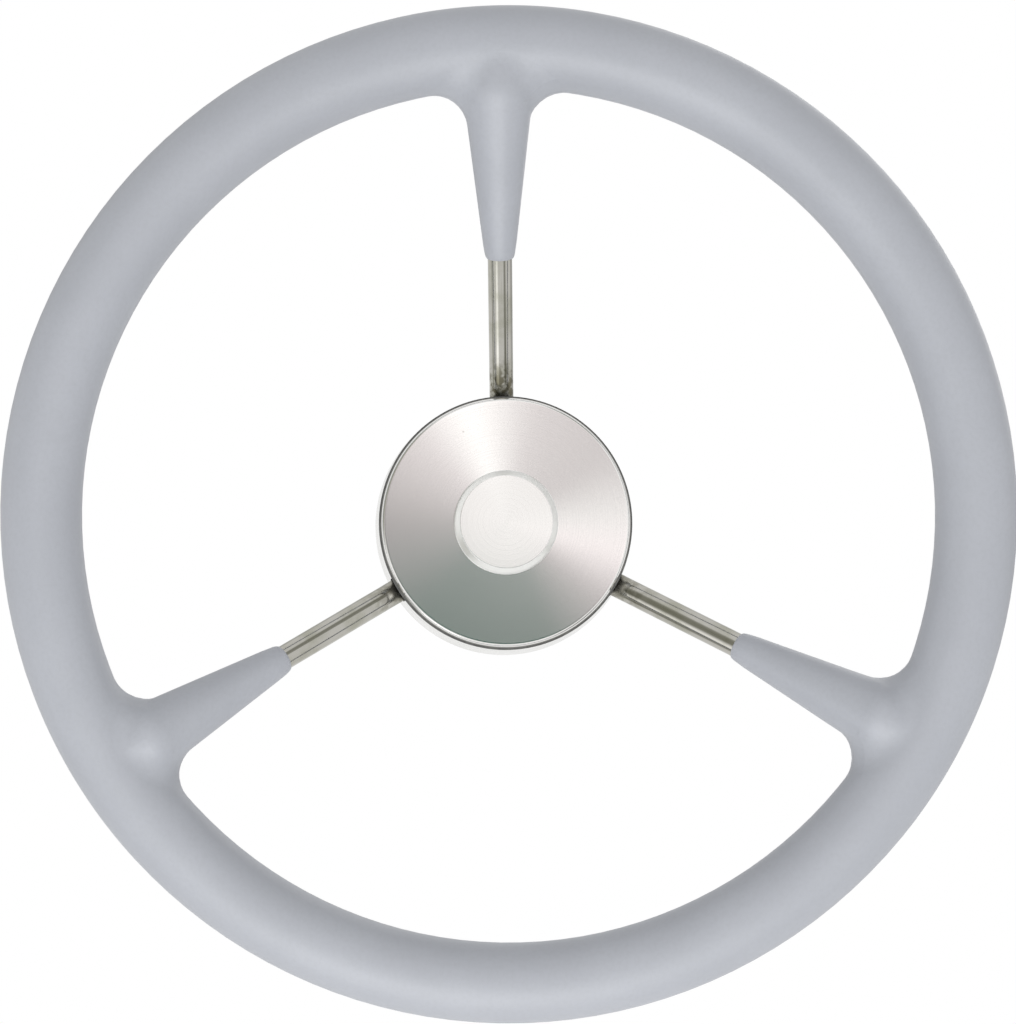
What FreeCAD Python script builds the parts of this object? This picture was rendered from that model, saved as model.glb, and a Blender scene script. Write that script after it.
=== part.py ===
"""Boat steering wheel with a foam grip, three dished rods and a pull-off centre cap.

Each rod leaves the hub level, bends forward up a slope, and bends level again at a
knee just inside the rim, where the foam over it makes a rounded knuckle.

The wheel is built lying on its back: X to the right, Y up the wheel and Z forward
along the shaft, from the back face of the hub at Z = 0. It is stood upright at the
end, so that the shaft runs along Y and the front of the wheel faces -Y. The origin
is the middle of the hub's back face, at the wide end of the tapered shaft bore.
"""

import FreeCAD, Part
import math
import os

# Rim
RIM_DIAMETER = 380.0  # over the foam
GRIP_THICKNESS = 30.0  # of the foam, all round the core
CORE_THICKNESS = 8.0  # steel ring inside the foam

# Rods from the hub to the rim
SPOKE_NAMES = ("spoke_top", "spoke_left", "spoke_right")
FIRST_SPOKE_ANGLE = 90.0  # straight up, degrees from +X
ROD_THICKNESS = 9.5
DISH_ANGLE = 27.0  # how steeply a rod climbs from the hub to its knee, degrees
ROD_HEIGHT = 24.5  # of the level inner run, above the hub's back face
BEND_AT = 47.0  # from the shaft's axis to where the two straight runs would cross
BEND_RADIUS = 20.0  # of the rod's centre line
KNEE_SETBACK = 17.0  # from the core's centre line back to where the runs cross at the knee
KNEE_RADIUS = 14.0  # of the rod's centre line at the knee
ROD_SOCKET_DEPTH = 4.0  # that a rod goes into the hub
ROD_SETBACK = 1.5  # from the core's centre line back to the end of a rod
WELD_LEG = 2.0  # of the bead round a rod where it enters the hub

# Foam sleeves that run down the rods
SLEEVE_NOSE_AT = 102.0  # from the shaft's axis, measured square to it
NOSE_LIP = 0.4  # thickness of the foam at the very end, where it hugs the rod
NOSE_LENGTH = 6.5
SHOULDER_RADIUS = 6.6  # where the rounded nose turns into the long taper
KNUCKLE_INSET = 2.0  # by which the knuckle at the knee is slimmer than the rim, in radius
SLEEVE_BLEND = 13.0  # radius of the blend into the rim

# Hub: turned steel with a tapered bore for a three-quarter inch helm shaft
BORE_WIDE_DIAMETER = 19.05
BORE_TAPER = 1.0 / 12.0  # loss of diameter for each millimetre of length
BORE_LENGTH = 27.0
KEYWAY_WIDTH = 4.8
KEYWAY_DEPTH = 2.4
KEYWAY_ANGLE = 270.0  # between the two lower rods
NUT_RECESS_RADIUS = 16.0
HUB_LENGTH = 36.0
HUB_RADIUS = 23.0
HUB_NOSE_RADIUS = 15.0  # the short neck that stands out of the back of the cup
FLANGE_RADIUS = 28.0
FLANGE_THICKNESS = 5.0
FLANGE_ROOT = 2.0  # fillet between the flange and the hub's body
EDGE_BREAK = 0.8  # chamfer on the turned edges

# Cup round the hub, spun from sheet
CUP_SHEET = 1.2
CUP_BACK = 3.0  # height of its back face
CUP_FRONT = 33.0  # height of its open rim
CUP_LEAN = 2.2  # by which its back reaches further from the shaft's axis than its rim
CUP_CORNER = 4.0  # outside radius between the back and the wall
CUP_HOLE_CLEARANCE = 0.2  # round the hub's neck
ROD_NOTCH_CLEARANCE = 0.4  # between a rod and its notch in the cup's wall

# Screws that hold the cup to the hub's flange
CUP_SCREW_COUNT = 3
CUP_SCREW_CIRCLE = 22.0  # radius of the circle that they stand on
CUP_SCREW_FIRST_ANGLE = 30.0
SCREW_DIAMETER = 4.0
SCREW_HEAD_DIAMETER = 7.5
SCREW_HEAD_HEIGHT = 2.2
SCREW_HOLE_CLEARANCE = 0.2  # round the shank, in the cup
DRIVE_WIDTH = 1.0
DRIVE_LENGTH = 4.0
DRIVE_DEPTH = 1.2

# Centre cap, spun from sheet, with a raised round boss
CAP_SHEET = 1.0
CAP_FACE = 41.0  # height of the face at the foot of the boss
CAP_FACE_FALL = 1.5  # from the foot of the boss to the rounded edge
CAP_RADIUS = 49.5
CAP_EDGE_ROUND = 1.9
CAP_BOSS_RADIUS = 20.2  # at the middle of its wall
CAP_BOSS_HEIGHT = 3.4
CAP_BOSS_ROUND = 1.5  # of its shoulder, outside
CAP_FOOT_ROUND = 1.7  # of the hollow curve round its foot, outside
CAP_BOSS_CROWN = 0.5  # rise of its top from shoulder to middle

# Edge seal pressed into the cap, which closes on the rim of the cup
SEAL_GAP = 0.2  # between the seal and the cup's rim
SEAL_LIP = 1.6  # height of the band that shows
SEAL_PROUD = 0.8  # how far that band and the cup's rim reach past the cap's skirt
SEAL_DEPTH = 2.0  # of the band inside the cap's skirt
SEAL_WALL = 1.6

# Moulded carrier inside the cap, which slides over the end of the hub
CARRIER_PLATE = 1.6
CARRIER_WALL = 2.4
CARRIER_RUNNING_GAP = 0.3  # between the carrier's socket and the hub
CARRIER_ROD_GAP = 0.5  # between the end of the socket and the beads on the rods
RIB_COUNT = 6
RIB_FIRST_ANGLE = 0.0
RIB_WIDTH = 1.6
RIB_HEIGHT = 3.0
RIM_BAND = 1.6  # upright wall at the carrier's edge, inside the seal
RIM_BAND_HEIGHT = 2.2

# Friction ring in a groove round the end of the hub
O_RING_THICKNESS = 2.0
O_RING_BELOW_END = 2.2  # from the end of the hub to the ring's middle
O_RING_GAP = 0.1  # between the ring and the carrier's socket

OVERCUT = 1.0  # that a cutting shape runs past the surface that it opens

# Sizes that follow from those above
GRIP_RADIUS = GRIP_THICKNESS / 2
CORE_RADIUS = CORE_THICKNESS / 2
ROD_RADIUS = ROD_THICKNESS / 2
RING_RADIUS = RIM_DIAMETER / 2 - GRIP_RADIUS
SLOPE = math.radians(DISH_ANGLE)
KNEE_AT = RING_RADIUS - KNEE_SETBACK
KNUCKLE_RADIUS = GRIP_RADIUS - KNUCKLE_INSET
SLOPE_RUN = (KNEE_AT - BEND_AT) / math.cos(SLOPE)
RIM_HEIGHT = ROD_HEIGHT + SLOPE_RUN * math.sin(SLOPE)
SPOKE_ANGLES = [FIRST_SPOKE_ANGLE + 360.0 / len(SPOKE_NAMES) * i for i in range(len(SPOKE_NAMES))]
FLANGE_BACK = CUP_BACK + CUP_SHEET
CUP_FRONT_RADIUS = CAP_RADIUS + SEAL_PROUD
CUP_BACK_RADIUS = CUP_FRONT_RADIUS + CUP_LEAN
CAP_SKIRT_END = CUP_FRONT + SEAL_GAP + SEAL_LIP
CAP_INNER_RADIUS = CAP_RADIUS - CAP_SHEET
CARRIER_TOP = CAP_FACE - CAP_FACE_FALL - CAP_SHEET
SOCKET_RADIUS = HUB_RADIUS + CARRIER_RUNNING_GAP
O_RING_RADIUS = SOCKET_RADIUS - O_RING_GAP - O_RING_THICKNESS / 2
O_RING_HEIGHT = HUB_LENGTH - O_RING_BELOW_END

FORWARD = FreeCAD.Vector(0, 0, 1)
SIDEWAYS = FreeCAD.Vector(1, 0, 0)
CENTRE = FreeCAD.Vector(0, 0, 0)


def turned(shape, angle):
    """The shape turned about the shaft's axis."""
    copy = shape.copy()
    copy.rotate(CENTRE, FORWARD, angle)
    return copy


def repeated(shape, count, first_angle):
    """Copies of a shape spaced evenly round the shaft's axis."""
    return [turned(shape, first_angle + 360.0 / count * i) for i in range(count)]


def section_point(radius, height):
    """A point of a half section: distance from the axis, then height."""
    return FreeCAD.Vector(radius, 0, height)


def line(start, end):
    return Part.LineSegment(section_point(*start), section_point(*end)).toShape()


def arc(start, middle, end):
    points = [section_point(*p) for p in (start, middle, end)]
    return Part.Arc(*points).toShape()


def corner(centre, radius, start_angle, end_angle):
    """An arc of a half section, from its centre and two angles in degrees."""
    angles = (start_angle, (start_angle + end_angle) / 2, end_angle)
    points = [
        (
            centre[0] + radius * math.cos(math.radians(a)),
            centre[1] + radius * math.sin(math.radians(a)),
        )
        for a in angles
    ]
    return arc(*points)


def revolved(edges):
    """The solid that a closed half section sweeps round the shaft's axis."""
    face = Part.Face(Part.Wire(Part.__sortEdges__(edges)))
    return face.revolve(CENTRE, FORWARD, 360)


def stepped_ring(points):
    """A turned solid from the corners of a straight-sided half section."""
    edges = [line(points[i - 1], points[i]) for i in range(len(points))]
    return revolved(edges)


def cylinder(radius, low, high, x=0.0):
    """An upright cylinder between two heights, on the shaft's axis or x beside it."""
    return Part.makeCylinder(radius, high - low, section_point(x, low), FORWARD)


def on_rod(distance):
    """Radius and height of a point on a rod's slope, from where the runs cross at the bend."""
    return (
        BEND_AT + distance * math.cos(SLOPE),
        ROD_HEIGHT + distance * math.sin(SLOPE),
    )


def rod_line(inner_end, outer_end):
    """A rod's centre line in the XZ plane: level out of the hub, one bend, up the slope."""
    tangent = BEND_RADIUS * math.tan(SLOPE / 2)
    start = (BEND_AT - tangent, ROD_HEIGHT)
    middle = (
        start[0] + BEND_RADIUS * math.sin(SLOPE / 2),
        start[1] + BEND_RADIUS * (1 - math.cos(SLOPE / 2)),
    )
    end = on_rod(tangent)
    return [
        line((inner_end, ROD_HEIGHT), start),
        arc(start, middle, end),
        line(end, on_rod(outer_end)),
    ]


def knee_line():
    """The rest of that line: round the knee, then level to the core ring."""
    tangent = KNEE_RADIUS * math.tan(SLOPE / 2)
    end = (KNEE_AT + tangent, RIM_HEIGHT)
    middle = (
        end[0] - KNEE_RADIUS * math.sin(SLOPE / 2),
        end[1] - KNEE_RADIUS * (1 - math.cos(SLOPE / 2)),
    )
    return [
        arc(on_rod(SLOPE_RUN - tangent), middle, end),
        line(end, (RING_RADIUS - ROD_SETBACK, RIM_HEIGHT)),
    ]


def round_bar(radius, inner_end, edges):
    """A round bar along a line that leaves the hub level at inner_end."""
    start = section_point(inner_end, ROD_HEIGHT)
    profile = Part.Wire([Part.Circle(start, SIDEWAYS, radius).toShape()])
    return Part.Wire(edges).makePipeShell([profile], True, False)


def core_ring():
    """The bent steel ring that the foam is moulded round."""
    centre = FreeCAD.Vector(0, 0, RIM_HEIGHT)
    return Part.makeTorus(RING_RADIUS, CORE_RADIUS, centre, FORWARD)


def weld_bead():
    """The bead round a rod at the hub, trimmed to the hub's round side."""
    start = HUB_RADIUS - WELD_LEG
    wide = ROD_RADIUS + 2 * WELD_LEG
    base = section_point(start, ROD_HEIGHT)
    bead = Part.makeCone(wide, ROD_RADIUS, 2 * WELD_LEG, base, SIDEWAYS)
    return bead.cut(cylinder(HUB_RADIUS, 0, HUB_LENGTH))


def spoke(core):
    """One rod: its inner end sits in the hub, its outer end is shaped to the core."""
    inner_end = HUB_RADIUS - ROD_SOCKET_DEPTH
    knee_start = SLOPE_RUN - KNEE_RADIUS * math.tan(SLOPE / 2)
    rod = round_bar(ROD_RADIUS, inner_end, rod_line(inner_end, knee_start) + knee_line())
    return rod.fuse(weld_bead()).cut(core)


def sleeve_along_x():
    """The foam down a rod: rounded nose, long taper, ball over the knee, stub into the rim."""
    nose = (SLEEVE_NOSE_AT - BEND_AT) / math.cos(SLOPE)
    ball_at = SLOPE_RUN - nose
    taper_run = ball_at - NOSE_LENGTH
    taper = math.asin(KNUCKLE_RADIUS / math.hypot(taper_run, SHOULDER_RADIUS))
    taper -= math.atan2(SHOULDER_RADIUS, taper_run)
    lip = FreeCAD.Vector(0, ROD_RADIUS + NOSE_LIP, 0)
    pull = FreeCAD.Vector(0, SHOULDER_RADIUS - NOSE_LENGTH * math.tan(taper), 0)
    shoulder = FreeCAD.Vector(NOSE_LENGTH, SHOULDER_RADIUS, 0)
    touch, ball_side, ball_end = [
        FreeCAD.Vector(
            ball_at + KNUCKLE_RADIUS * math.cos(angle), KNUCKLE_RADIUS * math.sin(angle), 0
        )
        for angle in (math.pi / 2 + taper, math.pi / 4 + taper / 2, 0)
    ]
    rounded = Part.BezierCurve()
    rounded.setPoles([lip, pull, shoulder])
    edges = [
        Part.LineSegment(CENTRE, lip).toShape(),
        rounded.toShape(),
        Part.LineSegment(shoulder, touch).toShape(),
        Part.Arc(touch, ball_side, ball_end).toShape(),
        Part.LineSegment(ball_end, CENTRE).toShape(),
    ]
    solid = Part.Face(Part.Wire(edges)).revolve(CENTRE, SIDEWAYS, 360)
    solid.rotate(CENTRE, FreeCAD.Vector(0, 1, 0), -DISH_ANGLE)
    solid.translate(section_point(*on_rod(nose)))
    knee = section_point(KNEE_AT, RIM_HEIGHT)
    return solid.fuse(Part.makeCylinder(KNUCKLE_RADIUS, KNEE_SETBACK, knee, SIDEWAYS))


def blend_edges(shape):
    """The edges where a sleeve's stub meets the round rim."""
    found = []
    for edge in shape.Edges:
        kinds = {type(face.Surface) for face in shape.ancestorsOfType(edge, Part.Face)}
        if kinds == {Part.Toroid, Part.Cylinder}:
            found.append(edge)
    return found


def rim_grip(core, spokes):
    """One foam moulding: the round rim, three sleeves and the blends between them."""
    centre = FreeCAD.Vector(0, 0, RIM_HEIGHT)
    rim = Part.makeTorus(RING_RADIUS, GRIP_RADIUS, centre, FORWARD)
    sleeves = [turned(sleeve_along_x(), angle) for angle in SPOKE_ANGLES]
    foam = rim.fuse(sleeves)
    foam = foam.makeFillet(SLEEVE_BLEND, blend_edges(foam))
    return foam.cut([core] + spokes)


def cup_screw():
    """A pan-head screw with a cross recess, driven from the back, out at its place."""
    x = CUP_SCREW_CIRCLE
    head = cylinder(SCREW_HEAD_DIAMETER / 2, CUP_BACK - SCREW_HEAD_HEIGHT, CUP_BACK, x)
    lower_edge = [e for e in head.Edges if abs(e.BoundBox.ZMax - head.BoundBox.ZMin) < 0.01]
    head = head.makeFillet(SCREW_HEAD_HEIGHT / 2, lower_edge)
    shank = cylinder(SCREW_DIAMETER / 2, CUP_BACK, FLANGE_BACK + FLANGE_THICKNESS, x)
    recess = []
    for long_x, long_y in ((DRIVE_LENGTH, DRIVE_WIDTH), (DRIVE_WIDTH, DRIVE_LENGTH)):
        corner_point = FreeCAD.Vector(x - long_x / 2, -long_y / 2, CUP_BACK - SCREW_HEAD_HEIGHT)
        recess.append(Part.makeBox(long_x, long_y, DRIVE_DEPTH, corner_point))
    return head.fuse(shank).removeSplitter().cut(recess)


def cup_screws():
    return repeated(cup_screw(), CUP_SCREW_COUNT, CUP_SCREW_FIRST_ANGLE)


def keyway():
    """A slot along the bore whose floor follows the taper."""
    wide = BORE_WIDE_DIAMETER / 2
    narrow = wide - BORE_TAPER * BORE_LENGTH / 2
    corners = (
        (0, 0),
        (wide + KEYWAY_DEPTH, 0),
        (narrow + KEYWAY_DEPTH, BORE_LENGTH),
        (0, BORE_LENGTH),
    )
    points = [section_point(*c) for c in corners]
    face = Part.Face(Part.makePolygon(points + points[:1]))
    slot = face.extrude(FreeCAD.Vector(0, KEYWAY_WIDTH, 0))
    slot.translate(FreeCAD.Vector(0, -KEYWAY_WIDTH / 2, 0))
    return turned(slot, KEYWAY_ANGLE)


def hub(spokes, screws):
    """The turned hub: tapered bore, nut recess, flange for the cup, ring groove."""
    wide = BORE_WIDE_DIAMETER / 2
    narrow = wide - BORE_TAPER * BORE_LENGTH / 2
    flange_front = FLANGE_BACK + FLANGE_THICKNESS
    body = stepped_ring(
        [
            (wide, 0),
            (HUB_NOSE_RADIUS - EDGE_BREAK, 0),
            (HUB_NOSE_RADIUS, EDGE_BREAK),
            (HUB_NOSE_RADIUS, FLANGE_BACK),
            (FLANGE_RADIUS, FLANGE_BACK),
            (FLANGE_RADIUS, flange_front - EDGE_BREAK),
            (FLANGE_RADIUS - EDGE_BREAK, flange_front),
            (HUB_RADIUS + FLANGE_ROOT, flange_front),
            (HUB_RADIUS, flange_front + FLANGE_ROOT),
            (HUB_RADIUS, HUB_LENGTH - EDGE_BREAK),
            (HUB_RADIUS - EDGE_BREAK, HUB_LENGTH),
            (NUT_RECESS_RADIUS, HUB_LENGTH),
            (NUT_RECESS_RADIUS, BORE_LENGTH),
            (narrow, BORE_LENGTH),
        ]
    )
    groove_floor = O_RING_RADIUS - O_RING_THICKNESS / 2
    half_width = O_RING_THICKNESS / 2 + O_RING_GAP
    groove = stepped_ring(
        [
            (groove_floor, O_RING_HEIGHT - half_width),
            (HUB_RADIUS + OVERCUT, O_RING_HEIGHT - half_width),
            (HUB_RADIUS + OVERCUT, O_RING_HEIGHT + half_width),
            (groove_floor, O_RING_HEIGHT + half_width),
        ]
    )
    return body.cut([groove, keyway()] + spokes + screws)


def cap_o_ring():
    return Part.makeTorus(
        O_RING_RADIUS, O_RING_THICKNESS / 2, FreeCAD.Vector(0, 0, O_RING_HEIGHT), FORWARD
    )


def cup_section(inset):
    """The cup's back, corner and leaning wall, set in from the outside by inset."""
    corner_centre = (CUP_BACK_RADIUS - CUP_CORNER, CUP_BACK + CUP_CORNER)
    across = CUP_FRONT_RADIUS - corner_centre[0]
    along = CUP_FRONT - corner_centre[1]
    lean = math.atan2(along, across) - math.acos(CUP_CORNER / math.hypot(across, along))
    radius = CUP_CORNER - inset
    wall_start = (
        corner_centre[0] + radius * math.cos(lean),
        corner_centre[1] + radius * math.sin(lean),
    )
    rim = (CUP_FRONT_RADIUS - inset / math.cos(lean), CUP_FRONT)
    hole = (HUB_NOSE_RADIUS + CUP_HOLE_CLEARANCE, CUP_BACK + inset)
    edges = [
        line(hole, (corner_centre[0], CUP_BACK + inset)),
        corner(corner_centre, radius, -90, math.degrees(lean)),
        line(wall_start, rim),
    ]
    return edges, hole, rim


def rod_notch():
    """What is cut from the cup's wall for one rod, open to the cup's front."""
    radius = ROD_RADIUS + ROD_NOTCH_CLEARANCE
    inside = BEND_AT - BEND_RADIUS * math.tan(SLOPE / 2) - ROD_THICKNESS
    rod = round_bar(radius, inside, rod_line(inside, CUP_BACK_RADIUS - BEND_AT + ROD_THICKNESS))
    at_wall = ROD_HEIGHT + (CUP_FRONT_RADIUS - BEND_AT) * math.tan(SLOPE)
    corner_point = FreeCAD.Vector(inside, -radius, at_wall)
    length = CUP_BACK_RADIUS + OVERCUT - inside
    mouth = Part.makeBox(length, 2 * radius, CUP_FRONT + OVERCUT - at_wall, corner_point)
    return rod.fuse(mouth)


def hub_cup():
    """The spun cup that closes the hub from behind, with three notches for the rods."""
    outer, outer_hole, outer_rim = cup_section(0)
    inner, inner_hole, inner_rim = cup_section(CUP_SHEET)
    cup = revolved(outer + inner + [line(outer_hole, inner_hole), line(outer_rim, inner_rim)])
    notches = [turned(rod_notch(), angle) for angle in SPOKE_ANGLES]
    hole_radius = SCREW_DIAMETER / 2 + SCREW_HOLE_CLEARANCE
    hole = cylinder(hole_radius, 0, FLANGE_BACK + OVERCUT, CUP_SCREW_CIRCLE)
    holes = repeated(hole, CUP_SCREW_COUNT, CUP_SCREW_FIRST_ANGLE)
    return cup.cut(notches + holes)


def cap_section(inset):
    """The cap from its middle to the end of its skirt, set in from the outside by inset."""
    shoulder = (CAP_BOSS_RADIUS - CAP_BOSS_ROUND, CAP_FACE + CAP_BOSS_HEIGHT - CAP_BOSS_ROUND)
    foot = (CAP_BOSS_RADIUS + CAP_FOOT_ROUND, CAP_FACE + CAP_FOOT_ROUND)
    edge_height = CAP_FACE - CAP_FACE_FALL - CAP_EDGE_ROUND
    edge = (CAP_RADIUS - CAP_EDGE_ROUND, edge_height)
    boss_top = CAP_FACE + CAP_BOSS_HEIGHT - inset
    middle = (0, boss_top + CAP_BOSS_CROWN)
    half_way = (shoulder[0] / 2, boss_top + CAP_BOSS_CROWN * 3 / 4)
    wall = CAP_BOSS_RADIUS - inset
    end = (CAP_RADIUS - inset, CAP_SKIRT_END)
    edges = [
        arc(middle, half_way, (shoulder[0], boss_top)),
        corner(shoulder, CAP_BOSS_ROUND - inset, 90, 0),
        line((wall, shoulder[1]), (wall, foot[1])),
        corner(foot, CAP_FOOT_ROUND + inset, 180, 270),
        line((foot[0], CAP_FACE - inset), (edge[0], edge_height + CAP_EDGE_ROUND - inset)),
        corner(edge, CAP_EDGE_ROUND - inset, 90, 0),
        line((end[0], edge_height), end),
    ]
    return edges, middle, end


def cap_shell():
    """The spun steel cap: raised round boss, slightly coned face, rounded edge, skirt."""
    outer, outer_middle, outer_end = cap_section(0)
    inner, inner_middle, inner_end = cap_section(CAP_SHEET)
    return revolved(outer + inner + [line(outer_middle, inner_middle), line(outer_end, inner_end)])


def cap_seal():
    """The rubber edge: a band inside the skirt, and a lip that shows under its end."""
    low = CUP_FRONT + SEAL_GAP
    inside = CAP_INNER_RADIUS - SEAL_WALL
    return stepped_ring(
        [
            (inside, low),
            (CUP_FRONT_RADIUS, low),
            (CUP_FRONT_RADIUS, CAP_SKIRT_END),
            (CAP_INNER_RADIUS, CAP_SKIRT_END),
            (CAP_INNER_RADIUS, CAP_SKIRT_END + SEAL_DEPTH),
            (inside, CAP_SKIRT_END + SEAL_DEPTH),
        ]
    )


def cap_carrier():
    """The moulding bonded inside the cap: plate, hub socket, edge band and ribs."""
    face_start = CAP_BOSS_RADIUS + CAP_FOOT_ROUND
    face_end = CAP_RADIUS - CAP_EDGE_ROUND
    fall = CAP_FACE_FALL / (face_end - face_start)
    socket_top = CAP_FACE - CAP_SHEET - fall * (SOCKET_RADIUS - face_start)
    under_plate = CARRIER_TOP - CARRIER_PLATE
    socket_low = ROD_HEIGHT + ROD_RADIUS + WELD_LEG + CARRIER_ROD_GAP
    band_outside = CAP_INNER_RADIUS - SEAL_WALL
    band_low = under_plate - RIM_BAND_HEIGHT
    body = stepped_ring(
        [
            (SOCKET_RADIUS, socket_low),
            (SOCKET_RADIUS + CARRIER_WALL, socket_low),
            (SOCKET_RADIUS + CARRIER_WALL, under_plate),
            (band_outside - RIM_BAND, under_plate),
            (band_outside - RIM_BAND, band_low),
            (band_outside, band_low),
            (band_outside, under_plate),
            (face_end, under_plate),
            (face_end, CARRIER_TOP),
            (SOCKET_RADIUS, socket_top),
        ]
    )
    rib_start = SOCKET_RADIUS + CARRIER_WALL / 2
    rib_end = band_outside - RIM_BAND / 2
    corner_point = FreeCAD.Vector(rib_start, -RIB_WIDTH / 2, under_plate - RIB_HEIGHT)
    rib = Part.makeBox(rib_end - rib_start, RIB_WIDTH, RIB_HEIGHT + CARRIER_PLATE / 2, corner_point)
    return body.fuse(repeated(rib, RIB_COUNT, RIB_FIRST_ANGLE)).removeSplitter()


def save(name, shape):
    """Stand the shape upright, so that forward becomes -Y, and write it."""
    upright = shape.copy()
    upright.rotate(CENTRE, SIDEWAYS, 90)
    upright.exportStep("parts/" + name + ".step")
    print(name, len(upright.Solids), "solid", round(upright.Volume / 1000, 2), "cm3")


def main():
    os.makedirs("parts", exist_ok=True)
    core = core_ring()
    one_spoke = spoke(core)
    spokes = [turned(one_spoke, angle) for angle in SPOKE_ANGLES]
    screws = cup_screws()
    save("rim_core_ring", core)
    for name, rod in zip(SPOKE_NAMES, spokes):
        save(name, rod)
    save("rim_grip", rim_grip(core, spokes))
    save("hub", hub(spokes, screws))
    save("hub_cup", hub_cup())
    save("cup_screws", Part.makeCompound(screws))
    save("cap_o_ring", cap_o_ring())
    save("cap_shell", cap_shell())
    save("cap_seal", cap_seal())
    save("cap_carrier", cap_carrier())


main()
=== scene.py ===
# %% [markdown]
# # A boat steering wheel
#
# The wheel has a soft grey foam rim, moulded round a hidden steel ring and a little way
# down three round steel rods. The rods meet at a turned hub, under a spun steel cap that
# pulls off by hand. Its shapes come finished from a CAD program, so the work here is
# about surfaces: what each piece is made of, how it was finished, and what it reflects.
# The first cell loads those shapes. They are in metres and stay where they are.

import math

import bmesh
import bpy
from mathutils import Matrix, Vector


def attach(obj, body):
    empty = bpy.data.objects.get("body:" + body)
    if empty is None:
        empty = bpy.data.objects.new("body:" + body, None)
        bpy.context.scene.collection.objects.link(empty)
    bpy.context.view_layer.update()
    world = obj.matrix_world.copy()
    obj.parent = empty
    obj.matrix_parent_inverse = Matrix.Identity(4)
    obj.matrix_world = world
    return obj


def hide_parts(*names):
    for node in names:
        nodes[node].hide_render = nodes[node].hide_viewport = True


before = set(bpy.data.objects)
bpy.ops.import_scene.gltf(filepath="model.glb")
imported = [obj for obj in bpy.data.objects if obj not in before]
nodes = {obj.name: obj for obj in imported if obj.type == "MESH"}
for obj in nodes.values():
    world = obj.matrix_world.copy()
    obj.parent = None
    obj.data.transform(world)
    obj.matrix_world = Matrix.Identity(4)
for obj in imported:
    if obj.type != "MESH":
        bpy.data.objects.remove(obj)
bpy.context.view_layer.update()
print("nodes:", sorted(nodes))

# %% [markdown]
# A few sizes of the real wheel come back again and again. They are the ones that the CAD
# model was drawn from. The shaft runs along Y, the front of the wheel faces -Y, and Z is
# up, so "depth" below means how far a thing lies in front of the hub's back face.

# %% Name the sizes that are used again
MM = 0.001
RIM_DEPTH = 81.06 * MM  # of the rim's middle plane
RING_RADIUS = 175 * MM  # to the middle of the foam
GRIP_RADIUS = 15 * MM
KNEE_RADIUS = 158 * MM  # where a rod bends level again
ROD_SLOPE = math.radians(27)
ROD_ANGLES = {"spoke_top": 90, "spoke_left": 210, "spoke_right": 330}  # from +X, in degrees
CAP_RADIUS = 49.5 * MM
BOSS_RADIUS = 20.2 * MM
print("rim", round(2 * (RING_RADIUS + GRIP_RADIUS), 3), "m across")

# %% [markdown]
# The photograph was taken from under a metre away, a little below and left of the
# shaft's line, so that a strip of the cup shows beside the cap. A shift of the lens, as a
# cropped photograph has, puts the wheel in the middle of the frame. A camera can be aimed
# with a Track To constraint, which is quick. Here the turn is written as three angles,
# because it was measured from the photograph: how round the rim and the cap look, and how
# far the cap sits from the middle of the rim.

# %% Set the camera
camera_data = bpy.data.cameras.new("camera")
camera_data.sensor_width = 36
camera_data.lens = 72.70
camera_data.shift_x = 0.0484
camera_data.shift_y = 0.1479
camera = bpy.data.objects.new("camera", camera_data)
camera.location = (-0.0276, -0.8555, -0.046)
camera.rotation_mode = "XZY"
camera.rotation_euler = (math.radians(89.38), math.radians(1.58), math.radians(-0.53))
bpy.context.scene.collection.objects.link(camera)
bpy.context.scene.camera = camera
print("camera", [round(v, 3) for v in camera.location], "lens", camera_data.lens)

# %% [markdown]
# Materials in Blender are small networks of nodes. Wiring them by hand in code is wordy,
# so a few short helpers do it: one adds a node, one feeds a socket with a number or with
# another node's output, two do arithmetic, one ramps a value smoothly from 0 to 1, and
# one mixes two colours.

# %% Helpers for node networks
def add_node(tree, kind, **settings):
    made = tree.nodes.new("ShaderNode" + kind)
    for name, value in settings.items():
        setattr(made, name, value)
    return made


def feed(tree, socket, value):
    if isinstance(value, bpy.types.NodeSocket):
        tree.links.new(value, socket)
    else:
        socket.default_value = value


def reckon(tree, operation, *values):
    """The result of a Math node."""
    made = add_node(tree, "Math", operation=operation)
    for socket, value in zip(made.inputs, values):
        feed(tree, socket, value)
    return made.outputs[0]


def times(tree, first, second):
    """Two values multiplied, which is needed most often."""
    return reckon(tree, "MULTIPLY", first, second)


def ramp(tree, value, low, high, to_low=0.0, to_high=1.0):
    """A value that goes smoothly from to_low at low, to to_high at high."""
    made = add_node(tree, "MapRange", interpolation_type="SMOOTHSTEP")
    for socket, number in zip(made.inputs, (value, low, high, to_low, to_high)):
        feed(tree, socket, number)
    return made.outputs[0]


def blend(tree, factor, first, second):
    """A colour mixed from two others."""
    made = add_node(tree, "Mix", data_type="RGBA")
    for name, value in (("Factor_Float", factor), ("A_Color", first), ("B_Color", second)):
        socket = [s for s in made.inputs if s.identifier == name][0]
        feed(tree, socket, value)
    return [s for s in made.outputs if s.identifier == "Result_Color"][0]


print("helpers ready")

# %% [markdown]
# The wheel is photographed on plain white. A seamless sweep does that in a studio: a
# floor that curves up into a wall, so no corner shows. It is one sheet, pulled out of a
# single edge along a path and rounded with a bevel. To the camera its paint is pure
# white; light that bounces off it sees ordinary pale paint. The wheel hangs well above
# it, which leaves room for a lamp below. The sheet isn't part of the wheel.

# %% Build the studio sweep
FLOOR_HEIGHT = -1.8
SWEEP_HALF_WIDTH = 4.0
SWEEP_FRONT = 5.0
WALL_DISTANCE = 2.2
WALL_HEIGHT = 5.0
SWEEP_CURVE = 1.2

sweep = bmesh.new()


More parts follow.
